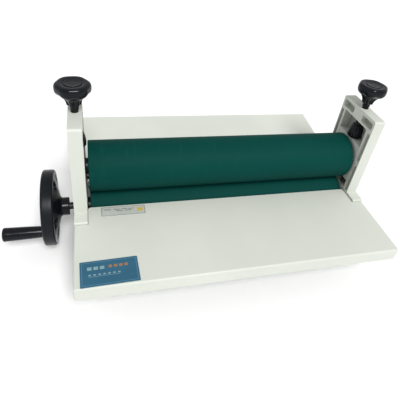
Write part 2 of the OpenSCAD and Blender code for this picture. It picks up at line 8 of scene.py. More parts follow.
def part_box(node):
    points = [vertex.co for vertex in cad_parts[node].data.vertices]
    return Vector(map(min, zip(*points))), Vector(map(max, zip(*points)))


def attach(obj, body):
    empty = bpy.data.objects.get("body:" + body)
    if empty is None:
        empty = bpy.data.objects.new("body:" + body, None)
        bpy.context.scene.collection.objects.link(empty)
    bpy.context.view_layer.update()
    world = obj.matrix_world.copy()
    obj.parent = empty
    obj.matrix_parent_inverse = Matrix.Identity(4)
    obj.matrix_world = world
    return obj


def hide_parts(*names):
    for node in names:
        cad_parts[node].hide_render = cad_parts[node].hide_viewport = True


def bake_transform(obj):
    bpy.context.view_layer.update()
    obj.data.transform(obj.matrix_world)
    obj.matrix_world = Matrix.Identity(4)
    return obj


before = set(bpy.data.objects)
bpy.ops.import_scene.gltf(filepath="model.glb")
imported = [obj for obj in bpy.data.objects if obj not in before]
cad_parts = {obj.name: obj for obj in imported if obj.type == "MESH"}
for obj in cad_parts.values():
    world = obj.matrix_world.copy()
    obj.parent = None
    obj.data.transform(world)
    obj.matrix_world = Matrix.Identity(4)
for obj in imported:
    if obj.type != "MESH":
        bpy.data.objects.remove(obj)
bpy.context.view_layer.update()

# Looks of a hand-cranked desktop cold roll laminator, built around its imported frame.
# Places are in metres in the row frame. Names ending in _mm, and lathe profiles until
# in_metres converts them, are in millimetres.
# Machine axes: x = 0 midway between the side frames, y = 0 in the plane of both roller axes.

MM = 0.001
TURN = 2 * math.pi
SIDES = ("left", "right")


# ---- Places taken from the frame ----

def middle(node):
    """Centre of a CAD node's box."""
    low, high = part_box(node)
    return (low + high) / 2


lower_axis = middle("lower_roller_cover")
origin = Vector((lower_axis.x, lower_axis.y, 0))


def at(x_mm, y_mm, z_mm):
    """Point in the row frame from machine millimetres."""
    return origin + Vector((x_mm, y_mm, z_mm)) * MM


def side_of(node):
    """1 for a node on the right of the machine, -1 on the left."""
    return 1 if middle(node).x > origin.x else -1


# ---- Mesh helpers ----

SHARP_ANGLE = math.radians(38)
ON_AXIS = 1e-7


def finish_piece(obj, body, material, replaced=()):
    """Gives a piece its materials and body, and hides the CAD nodes that it replaces."""
    obj.data.materials.clear()
    for m in (material if isinstance(material, (list, tuple)) else [material]):
        obj.data.materials.append(m)
    if body:
        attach(obj, body)
    if replaced:
        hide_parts(*replaced)
    return obj


def piece_from(bm, name, place=(0, 0, 0)):
    """Object from a bmesh, smooth except over sharp edges, with its origin at place."""
    bmesh.ops.recalc_face_normals(bm, faces=bm.faces)
    for face in bm.faces:
        face.smooth = True
    for edge in bm.edges:
        if len(edge.link_faces) == 2 and edge.calc_face_angle(0) > SHARP_ANGLE:
            edge.smooth = False
    mesh = bpy.data.meshes.new(name)
    bm.to_mesh(mesh)
    bm.free()
    obj = bpy.data.objects.new(name, mesh)
    obj.location = place
    bpy.context.scene.collection.objects.link(obj)
    return obj


def soften(obj, width_mm, segments=3, angle=34):
    """Rounds the sharp edges and keeps the large faces flat in the shading."""
    bevel = obj.modifiers.new("rounded_edges", "BEVEL")
    bevel.width = width_mm * MM
    bevel.segments = segments
    bevel.limit_method = "ANGLE"
    bevel.angle_limit = math.radians(angle)
    bevel.use_clamp_overlap = True
    bevel.miter_outer = "MITER_ARC"
    flat = obj.modifiers.new("flat_faces", "WEIGHTED_NORMAL")
    flat.keep_sharp = True
    flat.weight = 80
    for edge in obj.data.edges:
        edge.use_edge_sharp = False
    return obj


def rounded_copy(node, name, width_mm, segments=3, angle=34):
    """Copy of a CAD node with clean flat faces and rounded edges."""
    bm = bmesh.new()
    bm.from_mesh(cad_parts[node].data)
    bmesh.ops.remove_doubles(bm, verts=bm.verts, dist=2e-6)
    bmesh.ops.dissolve_limit(bm, angle_limit=math.radians(0.4), verts=bm.verts, edges=bm.edges)
    return soften(piece_from(bm, name), width_mm, segments, angle)


def lathe(profile, steps=96, closed_ring=False, wobble=None):
    """Turned shape about Z from (radius, height) points; wobble(angle, r, z) can change a radius."""
    bm = bmesh.new()
    rings = []
    for r, z in profile:
        if r < ON_AXIS:
            rings.append([bm.verts.new((0, 0, z))])
            continue
        ring = []
        for i in range(steps):
            a = TURN * i / steps
            rr = wobble(a, r, z) if wobble else r
            ring.append(bm.verts.new((rr * math.cos(a), rr * math.sin(a), z)))
        rings.append(ring)
    pairs = list(zip(rings, rings[1:]))
    if closed_ring:
        pairs.append((rings[-1], rings[0]))
    for low, high in pairs:
        for i in range(steps):
            k = (i + 1) % steps
            corners = [low[i % len(low)], low[k % len(low)], high[k % len(high)], high[i % len(high)]]
            unique = [v for n, v in enumerate(corners) if v not in corners[:n]]
            if len(unique) > 2:
                bm.faces.new(unique)
    return bm


def arc(centre_r, centre_z, radius, start, end, steps=6):
    """Points of a round in a lathe profile; angles in degrees from +r towards +z."""
    points = []
    for i in range(steps + 1):
        a = math.radians(start + (end - start) * i / steps)
        points.append((centre_r + radius * math.cos(a), centre_z + radius * math.sin(a)))
    return points


def in_metres(profile_mm):
    """Lathe profile in metres from one in millimetres."""
    return [(r * MM, z * MM) for r, z in profile_mm]


def turn_to(bm, direction):
    """Turns a lathe from +Z onto another direction."""
    spin = Vector((0, 0, 1)).rotation_difference(Vector(direction)).to_matrix()
    bmesh.ops.rotate(bm, cent=(0, 0, 0), matrix=spin, verts=bm.verts)
    return bm


def cut(obj, cutters):
    """Takes the cutters out of obj and removes them."""
    for tool in cutters:
        difference = obj.modifiers.new("opening", "BOOLEAN")
        difference.operation = "DIFFERENCE"
        difference.solver = "EXACT"
        difference.object = tool
    bpy.context.view_layer.update()
    graph = bpy.context.evaluated_depsgraph_get()
    mesh = bpy.data.meshes.new_from_object(obj.evaluated_get(graph), depsgraph=graph)
    obj.modifiers.clear()
    obj.data = mesh
    for tool in cutters:
        bpy.data.objects.remove(tool)
    return obj


def tube_along(points, radius, sides=10):
    """Closed round tube along points, for spring wire."""
    bm = bmesh.new()
    rings = []
    for i, p in enumerate(points):
        ahead = points[min(i + 1, len(points) - 1)]
        behind = points[max(i - 1, 0)]
        along = (ahead - behind).normalized()
        out = Vector((p.x, p.y, 0)).normalized()
        up = along.cross(out).normalized()
        ring = []
        for j in range(sides):
            a = TURN * j / sides
            ring.append(bm.verts.new(p + (out * math.cos(a) + up * math.sin(a)) * radius))
        rings.append(ring)
    for low, high in zip(rings, rings[1:]):
        for j in range(sides):
            k = (j + 1) % sides
            bm.faces.new([low[j], low[k], high[k], high[j]])
    bm.faces.new(rings[0])
    bm.faces.new(list(reversed(rings[-1])))
    return bm


# ---- Shader node groups ----

def new_group(name, inputs, outputs):
    """Empty shader group with float inputs and (name, kind) outputs."""
    group = bpy.data.node_groups.new(name, "ShaderNodeTree")
    for label, value in inputs:
        socket = group.interface.new_socket(label, in_out="INPUT", socket_type="NodeSocketFloat")
        socket.default_value = value
    for label, kind in outputs:
        group.interface.new_socket(label, in_out="OUTPUT", socket_type=kind)
    return group


def add(tree, kind, **settings):
    """New node with its settings."""
    node = tree.nodes.new(kind)
    for key, value in settings.items():
        setattr(node, key, value)
    return node


def math_node(tree, operation, a, b=None, clamp=False):
    """Math node whose inputs are sockets or numbers; returns its output."""
    node = add(tree, "ShaderNodeMath", operation=operation, use_clamp=clamp)
    for socket, value in zip(node.inputs, (a, b)):
        if value is None:
            continue
        if isinstance(value, bpy.types.NodeSocket):
            tree.links.new(value, socket)
        else:
            socket.default_value = value
    return node.outputs[0]


def step_up(tree, value, low, high):
    """Smooth step of a value from low to high."""
    node = add(tree, "ShaderNodeMapRange", interpolation_type="SMOOTHSTEP")
    tree.links.new(value, node.inputs["Value"])
    for label, bound in (("From Min", low), ("From Max", high)):
        if isinstance(bound, bpy.types.NodeSocket):
            tree.links.new(bound, node.inputs[label])
        else:
            node.inputs[label].default_value = bound
    return node.outputs["Result"]


def make_edge_wear():
    """Mask of worn convex edges, broken up by a fine mottle."""
    group = new_group("edge_wear", [("Width", 0.0008), ("Patchiness", 240.0)],
                      [("Mask", "NodeSocketFloat")])
    source = add(group, "NodeGroupInput")
    sink = add(group, "NodeGroupOutput")
    bevel = add(group, "ShaderNodeBevel", samples=3)
    group.links.new(source.outputs["Width"], bevel.inputs["Radius"])
    geometry = add(group, "ShaderNodeNewGeometry")
    dot = add(group, "ShaderNodeVectorMath", operation="DOT_PRODUCT")
    group.links.new(bevel.outputs["Normal"], dot.inputs[0])
    group.links.new(geometry.outputs["Normal"], dot.inputs[1])
    turned_away = math_node(group, "SUBTRACT", 1.0, dot.outputs["Value"])
    edge = step_up(group, turned_away, 0.02, 0.16)
    coords = add(group, "ShaderNodeTexCoord")
    cloudy = add(group, "ShaderNodeTexNoise")
    cloudy.inputs["Detail"].default_value = 4
    group.links.new(coords.outputs["Object"], cloudy.inputs["Vector"])
    group.links.new(source.outputs["Patchiness"], cloudy.inputs["Scale"])
    patches = step_up(group, cloudy.outputs["Fac"], 0.42, 0.66)
    mask = math_node(group, "MULTIPLY", edge, patches, clamp=True)
    group.links.new(mask, sink.inputs["Mask"])
    return group


def make_mottle():
    """Broad and fine unevenness of a surface: a broad value, a fine value and a height."""
    group = new_group("mottle", [("Broad Scale", 9.0), ("Fine Scale", 900.0), ("Stretch X", 1.0)],
                      [("Broad", "NodeSocketFloat"), ("Fine", "NodeSocketFloat"),
                       ("Height", "NodeSocketFloat")])
    source = add(group, "NodeGroupInput")
    sink = add(group, "NodeGroupOutput")
    coords = add(group, "ShaderNodeTexCoord")
    stretch = add(group, "ShaderNodeCombineXYZ")
    stretch.inputs["Y"].default_value = 1
    stretch.inputs["Z"].default_value = 1
    group.links.new(source.outputs["Stretch X"], stretch.inputs["X"])
    scaled = add(group, "ShaderNodeVectorMath", operation="MULTIPLY")
    group.links.new(coords.outputs["Object"], scaled.inputs[0])
    group.links.new(stretch.outputs[0], scaled.inputs[1])
    broad = add(group, "ShaderNodeTexNoise")
    broad.inputs["Detail"].default_value = 3
    fine = add(group, "ShaderNodeTexNoise")
    fine.inputs["Detail"].default_value = 2
    for node, label in ((broad, "Broad Scale"), (fine, "Fine Scale")):
        group.links.new(scaled.outputs[0], node.inputs["Vector"])
        group.links.new(source.outputs[label], node.inputs["Scale"])
    height = math_node(group, "MULTIPLY", broad.outputs["Fac"], 0.4)
    height = math_node(group, "ADD", height, fine.outputs["Fac"])
    group.links.new(step_up(group, broad.outputs["Fac"], 0.35, 0.65), sink.inputs["Broad"])
    group.links.new(fine.outputs["Fac"], sink.inputs["Fine"])
    group.links.new(height, sink.inputs["Height"])
    return group


def make_turning_lines():
    """Fine lines left by a lathe or a grinder, spaced along the object's X axis."""
    group = new_group("turning_lines", [("Lines Per Metre", 2600.0), ("Length Along", 4.0)],
                      [("Lines", "NodeSocketFloat")])
    source = add(group, "NodeGroupInput")
    sink = add(group, "NodeGroupOutput")
    coords = add(group, "ShaderNodeTexCoord")
    parts = add(group, "ShaderNodeSeparateXYZ")
    group.links.new(coords.outputs["Object"], parts.inputs[0])
    join = add(group, "ShaderNodeCombineXYZ")
    along = math_node(group, "MULTIPLY", parts.outputs["X"], source.outputs["Lines Per Metre"])
    group.links.new(along, join.inputs["X"])
    for axis in ("Y", "Z"):
        group.links.new(math_node(group, "MULTIPLY", parts.outputs[axis],
                                  source.outputs["Length Along"]), join.inputs[axis])
    lines = add(group, "ShaderNodeTexNoise")
    lines.inputs["Scale"].default_value = 1
    lines.inputs["Detail"].default_value = 3
    group.links.new(join.outputs[0], lines.inputs["Vector"])
    group.links.new(lines.outputs["Fac"], sink.inputs["Lines"])
    return group


def make_printed_bar():
    """Mask of a printed bar on a flat plate, from its centre and half sizes in metres."""
    group = new_group("printed_bar", [("Centre X", 0.0), ("Centre Y", 0.0), ("Half Width", 0.01),
                                      ("Half Height", 0.001)], [("Mask", "NodeSocketFloat")])
    source = add(group, "NodeGroupInput")
    sink = add(group, "NodeGroupOutput")
    coords = add(group, "ShaderNodeTexCoord")
    parts = add(group, "ShaderNodeSeparateXYZ")
    group.links.new(coords.outputs["Object"], parts.inputs[0])
    inside = []
    for axis, centre, half in (("X", "Centre X", "Half Width"), ("Y", "Centre Y", "Half Height")):
        offset = math_node(group, "SUBTRACT", parts.outputs[axis], source.outputs[centre])
        distance = math_node(group, "ABSOLUTE", offset)
        inside.append(math_node(group, "LESS_THAN", distance, source.outputs[half]))
    group.links.new(math_node(group, "MULTIPLY", *inside), sink.inputs["Mask"])
    return group


edge_wear = make_edge_wear()
mottle = make_mottle()
turning_lines = make_turning_lines()
printed_bar = make_printed_bar()


# ---- Materials ----

def new_material(name):
    """New material, its node tree and its shader."""
    material = bpy.data.materials.new(name)
    material.use_nodes = True
    tree = material.node_tree
    return material, tree, tree.nodes["Principled BSDF"]


def use_group(tree, group, **values):
    """Places a node group and sets its inputs; Fine_Scale sets the input Fine Scale."""
    node = add(tree, "ShaderNodeGroup", node_tree=group)
    for key, value in values.items():
        node.inputs[key.replace("_", " ")].default_value = value
    return node


# The mix node has a set of sockets for each kind of value; these are the colour ones.
MIX_COLOUR_A = 6
MIX_COLOUR_B = 7
MIX_COLOUR_RESULT = 2


def mix(tree, fac, a, b):
    """Mixed colour; a and b are sockets or colours."""
    node = add(tree, "ShaderNodeMix", data_type="RGBA")
    tree.links.new(fac, node.inputs["Factor"])
    for socket, value in ((node.inputs[MIX_COLOUR_A], a), (node.inputs[MIX_COLOUR_B], b)):
        if isinstance(value, bpy.types.NodeSocket):
            tree.links.new(value, socket)
        else:
            socket.default_value = (*value, 1)
    return node.outputs[MIX_COLOUR_RESULT]


def spread(tree, value, low, high):
    """Maps 0 to 1 onto low to high."""
    node = add(tree, "ShaderNodeMapRange")
    tree.links.new(value, node.inputs["Value"])
    node.inputs["To Min"].default_value = low
    node.inputs["To Max"].default_value = high
    return node.outputs["Result"]


def bump(tree, shader, height, strength, distance):
    """Fine relief on a shader from a height value; distance in metres."""
    node = add(tree, "ShaderNodeBump")
    node.inputs["Strength"].default_value = strength
    node.inputs["Distance"].default_value = distance
    tree.links.new(height, node.inputs["Height"])
    tree.links.new(node.outputs["Normal"], shader.inputs["Normal"])


def coated(name, light, dark, wear, rough, fine_scale=900.0, relief=0.00006, wear_width=0.0008,
           broad_scale=9.0, coat=0.0, specular=0.5):
    """Paint or plastic: mottled colour, worn edges and a fine relief."""
    material, tree, shader = new_material(name)
    uneven = use_group(tree, mottle, Broad_Scale=broad_scale, Fine_Scale=fine_scale)
    edges = use_group(tree, edge_wear, Width=wear_width)
    colour = mix(tree, uneven.outputs["Broad"], light, dark)
    colour = mix(tree, edges.outputs["Mask"], colour, wear)
    tree.links.new(colour, shader.inputs["Base Color"])
    tree.links.new(spread(tree, uneven.outputs["Broad"], rough[0], rough[1]), shader.inputs["Roughness"])
    shader.inputs["Specular IOR Level"].default_value = specular
    shader.inputs["Coat Weight"].default_value = coat
    shader.inputs["Coat Roughness"].default_value = 0.12
    bump(tree, shader, uneven.outputs["Height"], 0.5, relief)
    return material


def metal(name, light, dark, rough, lines_per_metre=2600.0, relief=0.00002, metallic=1.0):
    """Machined or plated metal: turning lines, mottle and brighter worn edges."""
    material, tree, shader = new_material(name)
    uneven = use_group(tree, mottle, Broad_Scale=60.0, Fine_Scale=1500.0)
    turned = use_group(tree, turning_lines, Lines_Per_Metre=lines_per_metre)
    edges = use_group(tree, edge_wear, Width=0.0004, Patchiness=500.0)
    colour = mix(tree, uneven.outputs["Broad"], light, dark)
    colour = mix(tree, edges.outputs["Mask"], colour, tuple(min(1, c * 1.35) for c in light))
    tree.links.new(colour, shader.inputs["Base Color"])
    shader.inputs["Metallic"].default_value = metallic
    tree.links.new(spread(tree, turned.outputs["Lines"], rough[0], rough[1]), shader.inputs["Roughness"])
    bump(tree, shader, turned.outputs["Lines"], 0.35, relief)
    return material


# Black plastic of the knobs, cups, handwheel and grip: even, paler and worn.
PLASTIC = (0.0050, 0.0057, 0.0080)
PLASTIC_PALE = (0.0075, 0.0083, 0.0110)
PLASTIC_WORN = (0.028, 0.029, 0.034)

white_paint = coated("white_paint", (0.590, 0.612, 0.556), (0.560, 0.584, 0.528), (0.72, 0.73, 0.69),
                     (0.42, 0.55), fine_scale=700.0, relief=0.00005, specular=0.35)
# Darker paint for the floors of the frame hollows: painted shade standing in for the shade that falls in
# them.
painted_hollow_shade = coated("painted_hollow_shade", (0.34, 0.365, 0.31), (0.27, 0.295, 0.25), (0.50, 0.51, 0.47),
                      (0.62, 0.8), fine_scale=420.0, relief=0.00025)
block_paint = coated("block_paint", (0.52, 0.54, 0.50), (0.46, 0.48, 0.44), (0.66, 0.66, 0.63),
                     (0.45, 0.62), fine_scale=500.0, relief=0.0001)
moulded_black = coated("moulded_black", PLASTIC, PLASTIC_PALE, PLASTIC_WORN, (0.16, 0.27),
                       fine_scale=520.0, relief=0.00003, wear_width=0.0007, broad_scale=45.0,
                       specular=0.17)
foot_rubber = coated("foot_rubber", (0.020, 0.020, 0.020), (0.032, 0.032, 0.031), (0.07, 0.07, 0.068),
                     (0.75, 0.9), fine_scale=1300.0, relief=0.0001, broad_scale=60.0)
black_oxide = metal("black_oxide", (0.055, 0.055, 0.06), (0.035, 0.035, 0.038), (0.32, 0.5), metallic=0.9)
zinc_plate = metal("zinc_plate", (0.62, 0.63, 0.64), (0.50, 0.51, 0.53), (0.22, 0.38))
spring_wire = metal("spring_wire", (0.17, 0.175, 0.18), (0.10, 0.10, 0.105), (0.3, 0.45))
sintered_bronze = metal("sintered_bronze", (0.47, 0.32, 0.15), (0.36, 0.24, 0.11), (0.38, 0.55))
turned_brass = metal("turned_brass", (0.60, 0.43, 0.18), (0.52, 0.36, 0.15), (0.2, 0.36))


def make_green_rubber():
    """Ground silicone rubber: very fine grinding lines round the roller, soft sheen, faint scuffs."""
    material, tree, shader = new_material("green_rubber")
    uneven = use_group(tree, mottle, Broad_Scale=14.0, Fine_Scale=1400.0, Stretch_X=0.35)
    ground = use_group(tree, turning_lines, Lines_Per_Metre=2100.0, Length_Along=9.0)
    scuffs = use_group(tree, turning_lines, Lines_Per_Metre=260.0, Length_Along=40.0)
    edges = use_group(tree, edge_wear, Width=0.0011, Patchiness=180.0)
    colour = mix(tree, uneven.outputs["Broad"], (0.0010, 0.042, 0.035), (0.0013, 0.047, 0.039))
    colour = mix(tree, step_up(tree, scuffs.outputs["Lines"], 0.56, 0.78), colour, (0.0022, 0.051, 0.043))
    colour = mix(tree, edges.outputs["Mask"], colour, (0.012, 0.10, 0.085))
    tree.links.new(colour, shader.inputs["Base Color"])
    tree.links.new(spread(tree, ground.outputs["Lines"], 0.5, 0.72), shader.inputs["Roughness"])
    shader.inputs["Specular IOR Level"].default_value = 0.05
    height = math_node(tree, "ADD", ground.outputs["Lines"], uneven.outputs["Fine"])
    bump(tree, shader, height, 0.4, 0.00004)
    return material


def make_printed_plate(name, ground, ground_dark, border, half_w, half_h, inset, bars, rough):
    """Blank printed plate: a thin border line and plain bars where lettering would be."""
    material, tree, shader = new_material(name)
    uneven = use_group(tree, mottle, Broad_Scale=40.0, Fine_Scale=1800.0)
    edges = use_group(tree, edge_wear, Width=0.0003, Patchiness=400.0)
    colour = mix(tree, uneven.outputs["Broad"], ground, ground_dark)
    line = 0.5 * MM
    outer = use_group(tree, printed_bar, Half_Width=half_w - inset, Half_Height=half_h - inset)
    inner = use_group(tree, printed_bar, Half_Width=half_w - inset - line,
                      Half_Height=half_h - inset - line)
    frame_line = math_node(tree, "SUBTRACT", outer.outputs["Mask"], inner.outputs["Mask"])
    colour = mix(tree, frame_line, colour, border)
    for (x, y, w, h), bar_colour in bars:
        bar = use_group(tree, printed_bar, Centre_X=x * MM, Centre_Y=y * MM, Half_Width=w * MM / 2,
                        Half_Height=h * MM / 2)
        colour = mix(tree, bar.outputs["Mask"], colour, bar_colour)
    colour = mix(tree, edges.outputs["Mask"], colour, (0.75, 0.76, 0.75))
    tree.links.new(colour, shader.inputs["Base Color"])
    tree.links.new(spread(tree, uneven.outputs["Broad"], rough[0], rough[1]), shader.inputs["Roughness"])
    shader.inputs["Specular IOR Level"].default_value = 0.25
    bump(tree, shader, uneven.outputs["Fine"], 0.3, 0.00002)
    return material


def make_turned_rim():
    """Moulding skimmed on a lathe: fine lines round the rim and a softer shine."""
    material, tree, shader = new_material("turned_rim")
    uneven = use_group(tree, mottle, Broad_Scale=45.0, Fine_Scale=520.0)
    turned = use_group(tree, turning_lines, Lines_Per_Metre=1500.0, Length_Along=6.0)
    edges = use_group(tree, edge_wear, Width=0.0007)
    colour = mix(tree, uneven.outputs["Broad"], PLASTIC, PLASTIC_PALE)
    colour = mix(tree, step_up(tree, turned.outputs["Lines"], 0.55, 0.75), colour, (0.016, 0.017, 0.020))
    colour = mix(tree, edges.outputs["Mask"], colour, PLASTIC_WORN)
    tree.links.new(colour, shader.inputs["Base Color"])
    tree.links.new(spread(tree, turned.outputs["Lines"], 0.26, 0.42), shader.inputs["Roughness"])
    shader.inputs["Specular IOR Level"].default_value = 0.14
    bump(tree, shader, turned.outputs["Lines"], 0.5, 0.00006)
    return material


green_rubber = make_green_rubber()
turned_rim = make_turned_rim()


# ---- Side frames ----

FRAME_INNER_X_MM = 178.75
RECESS_DEPTH_MM = 13.6
COLUMN_HALF_MM = 37.3
COLUMN_BASE_MM = 24
COLUMN_BORDER_MM = 3.5
FLOOR_NORMAL = 0.7


def side_frame(side_name):
    """Cast side frame: rounded edges outside, and darker paint on the floors of the hollows as painted
    shade.
    """
    node = side_name + "_side_frame"
    piece = rounded_copy(node, side_name + "_frame_casting", 1.1)
    finish_piece(piece, "base", [white_paint, painted_hollow_shade], [node])
    side = side_of(node)
    inner_face = at(side * FRAME_INNER_X_MM, 0, 0).x
    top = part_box(node)[1].z - COLUMN_BORDER_MM * MM
    for polygon in piece.data.polygons:
        centre = polygon.center
        depth = (centre.x - inner_face) * side
        in_width = abs(centre.y - origin.y) < COLUMN_HALF_MM * MM
        in_height = COLUMN_BASE_MM * MM < centre.z < top
        sunk = 0.3 * MM < depth < RECESS_DEPTH_MM * MM
        # The sunk floors of the hollows take the second material, the painted shade.
        if in_width and in_height and sunk and abs(polygon.normal.x) > FLOOR_NORMAL:
            polygon.material_index = 1
    return piece


for name in SIDES:
    side_frame(name)


# ---- Tables ----

def table(node, name):
    """Folded sheet table with small rounds on its folds."""
    piece = rounded_copy(node, name, 0.28, segments=2, angle=40)
    return finish_piece(piece, "base", white_paint, [node])


table("front_table", "feed_table")
table("rear_table", "delivery_table")


# ---- Rollers ----

RUBBER_WALL = 6 * MM
CORE_R = 25.5 * MM
CORE_HALF = 174 * MM
SHOULDER_R = 10 * MM
JOURNAL_R = 7 * MM
SHOULDER_GAP = 0.35 * MM
TAIL_R = 4.6 * MM
TAIL_START = 192.3 * MM


def roller_cover(name, node, body):
    """Rubber cover: ground face, rounded edges and a small chamfer at each end of its bore."""
    low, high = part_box(node)
    half = (high.x - low.x) / 2
    outer = (high.z - low.z) / 2
    inner = outer - RUBBER_WALL
    edge = 0.9 * MM
    profile = [(inner, -half + 0.3 * MM), (inner + 0.5 * MM, -half)]
    profile += [(outer - edge + r, -half + edge + z) for r, z in arc(0, 0, edge, -90, 0, 5)]
    spans = 14
    for i in range(1, spans):
        profile.append((outer, -half + edge + (2 * half - 2 * edge) * i / spans))
    profile += [(outer - edge + r, half - edge + z) for r, z in arc(0, 0, edge, 0, 90, 5)]
    profile += [(inner + 0.5 * MM, half), (inner, half - 0.3 * MM)]
    bm = turn_to(lathe(profile, 160, closed_ring=True), (1, 0, 0))
    piece = piece_from(bm, name, (low + high) / 2)
    return finish_piece(piece, body, green_rubber, [node])


roller_cover("upper_roller_rubber", "upper_roller_cover", "upper_roller")
roller_cover("lower_roller_rubber", "lower_roller_cover", "lower_roller")


def end_steps(shoulder_at, journal_end):
    """Profile of one end of a roller core, from the axis end back to the rim, in metres."""
    chamfer = 0.6 * MM
    dish = CORE_HALF - 0.9 * MM
    return [
        (0, journal_end), (JOURNAL_R - chamfer, journal_end), (JOURNAL_R, journal_end - chamfer),
        (JOURNAL_R, shoulder_at), (SHOULDER_R - chamfer, shoulder_at),
        (SHOULDER_R, shoulder_at - chamfer), (SHOULDER_R, dish),
        (SHOULDER_R + 3 * MM, dish), (SHOULDER_R + 4 * MM, CORE_HALF),
        (CORE_R - chamfer, CORE_HALF), (CORE_R, CORE_HALF - chamfer)
    ]


def roller_core(level, has_tail):
    """Steel core with a dished end face, a shoulder and a journal at each end.

    The tail is the thinner end that carries the handwheel.
    """
    node = level + "_roller_core"
    low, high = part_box(node)
    centre = middle(level + "_roller_cover")
    shoulder_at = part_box("right_bearing_block")[0].x - centre.x - SHOULDER_GAP
    left_end = centre.x - low.x
    right = end_steps(shoulder_at, high.x - centre.x)
    left = end_steps(shoulder_at, TAIL_START if has_tail else left_end)
    if has_tail:
        step = TAIL_START + 0.1 * MM
        tail = [(0, left_end), (TAIL_R - 0.5 * MM, left_end), (TAIL_R, left_end - 0.5 * MM),
                (TAIL_R, step), (JOURNAL_R - 0.6 * MM, step)]
        left = tail + left[2:]
    profile = right + [(r, -z) for r, z in reversed(left)]
    bm = turn_to(lathe(profile, 80), (1, 0, 0))
    piece = piece_from(bm, level + "_roller_shaft", centre)
    return finish_piece(piece, level + "_roller", black_oxide, [node])


roller_core("upper", has_tail=False)
roller_core("lower", has_tail=True)


# ---- Star knobs ----

KNOB_LOBES = 6
NECK_HOLLOW_MM = 2.1
RIM_HOLLOW_MM = 0.8


def smooth01(t):
    """Smooth step between 0 and 1."""
    t = max(0.0, min(1.0, t))
    return t * t * (3 - 2 * t)


def star_knob(side_name, turn_deg):
    """Moulded star knob: lobed rim, ribbed underside, collar, neck and a shallow top."""
    node = side_name + "_star_knob"
    low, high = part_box(node)
    centre = middle(side_name + "_pressure_screw")
    collar, skirt, top = 5.2, 19.7, (high.z - low.z) / MM
    profile = [(4.05, 0.0), (4.6, 0.0), (5.0, 0.4), (5.0, collar - 0.6), (5.3, collar), (6.4, collar + 0.35)]
    profile += arc(7.3, collar + 1.1, 0.7, -90, 0, 3)
    profile += [(8.1, collar + 1.9), (8.3, collar + 3.0), (8.9, collar + 5.0), (9.9, collar + 7.2),
                (11.3, collar + 9.2), (13.2, skirt - 2.8), (15.4, skirt - 1.3), (17.0, skirt - 0.2),
                (18.3, skirt + 1.2), (19.0, skirt + 2.6), (19.35, skirt + 4.4), (19.4, skirt + 6.2),
                (19.35, top - 3.9), (19.0, top - 2.5), (18.3, top - 1.3), (17.2, top - 0.5),
                (15.8, top - 0.1), (14.4, top), (12.6, top - 0.15), (11.2, top - 0.45),
                (10.4, top - 0.6), (9.9, top - 0.9), (9.8, top - 1.2), (9.8, top - 1.6), (0, top - 1.6)]
    turn = math.radians(turn_deg)

    def lobed(angle, r, height):
        """Radius drawn in between the lobes, deep under the skirt and shallow at the rim."""
        r_mm = r / MM
        z_mm = height / MM
        hollow = (0.5 - 0.5 * math.cos(KNOB_LOBES * (angle - turn))) ** 1.5
        under = smooth01((r_mm - 5.6) / 3) * (1 - smooth01((z_mm - skirt) / 4))
        rim = smooth01((r_mm - 13) / 5)
        depth = NECK_HOLLOW_MM * under + RIM_HOLLOW_MM * rim * (1 - under)
        return (r_mm - depth * hollow) * MM

    bm = lathe(in_metres(profile), 144, wobble=lobed)
    piece = piece_from(bm, side_name + "_knob_moulding", (centre.x, centre.y, low.z))
    finish_piece(piece, side_name + "_knob", moulded_black, [node])


def knob_disc(side_name):
    """Disc pressed into the top of a star knob."""
    centre = middle(side_name + "_pressure_screw")
    cap_low, cap_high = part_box(side_name + "_knob_cap")
    cap_r = (cap_high.x - cap_low.x) / 2 / MM - 0.15
    cap_t = (cap_high.z - cap_low.z) / MM
    cap_profile = [(0, 0.05), (cap_r - 0.3, 0.05), (cap_r, 0.3)]
    cap_profile += [(cap_r, cap_t - 0.5)] + arc(cap_r - 0.5, cap_t - 0.5, 0.5, 0, 90, 4)
    cap_profile += [(cap_r - 1.4, cap_t), (cap_r - 2.0, cap_t - 0.25), (cap_r * 0.5, cap_t - 0.3),
                    (0, cap_t - 0.3)]
    cap = piece_from(lathe(in_metres(cap_profile), 96), side_name + "_knob_disc",
                     (centre.x, centre.y, cap_low.z))
    finish_piece(cap, side_name + "_knob", moulded_black, [side_name + "_knob_cap"])


star_knob("left", 6)
knob_disc("left")
star_knob("right", 350)
knob_disc("right")


# ---- Pressure screws, clips and cups ----

PITCH_MM = 1.25
THREAD_BELOW_BUSH_MM = 12.0


def pressure_screw(side_name):
    """Screw with a real thread on its upper length and a plain tip."""
    node = side_name + "_pressure_screw"
    low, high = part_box(node)
    centre = middle(node)
    crest, root = 3.98, 3.35
    tooth = ((root, 0.0), (root, 0.16), (crest, 0.56), (crest, 0.70), (root, 1.1))
    length = (high.z - low.z) / MM
    shoulder = (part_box(side_name + "_thread_bush")[0].z - low.z) / MM - THREAD_BELOW_BUSH_MM
    bm = bmesh.new()
    steps = 24
    lines = []
    for i in range(int((length - shoulder) / PITCH_MM * steps)):
        a = TURN * (i % steps) / steps
        h = shoulder + PITCH_MM * i / steps
        column = []
        for r, dz in tooth:
            column.append(bm.verts.new((r * MM * math.cos(a), r * MM * math.sin(a),
                                        min(h + dz, length) * MM)))
        lines.append(column)
    for near, far in zip(lines, lines[1:]):
        for j in range(4):
            bm.faces.new([near[j], far[j], far[j + 1], near[j + 1]])
    for i in range(len(lines) - steps - 1):
        bm.faces.new([lines[i][4], lines[i + 1][4], lines[i + steps + 1][0], lines[i + steps][0]])
    core = lathe(in_metres([(0, 0), (2.5, 0), (3, 0.5), (3, shoulder - 0.3), (3.3, shoulder),
                            (3.3, length - 0.2), (3.0, length), (0, length)]), 48)
    holder = bpy.data.meshes.new("core")
    core.to_mesh(holder)
    core.free()
    bm.from_mesh(holder)
    bpy.data.meshes.remove(holder)
    piece = piece_from(bm, side_name + "_threaded_screw", (centre.x, centre.y, low.z))
    return finish_piece(piece, side_name + "_knob", black_oxide, [node])


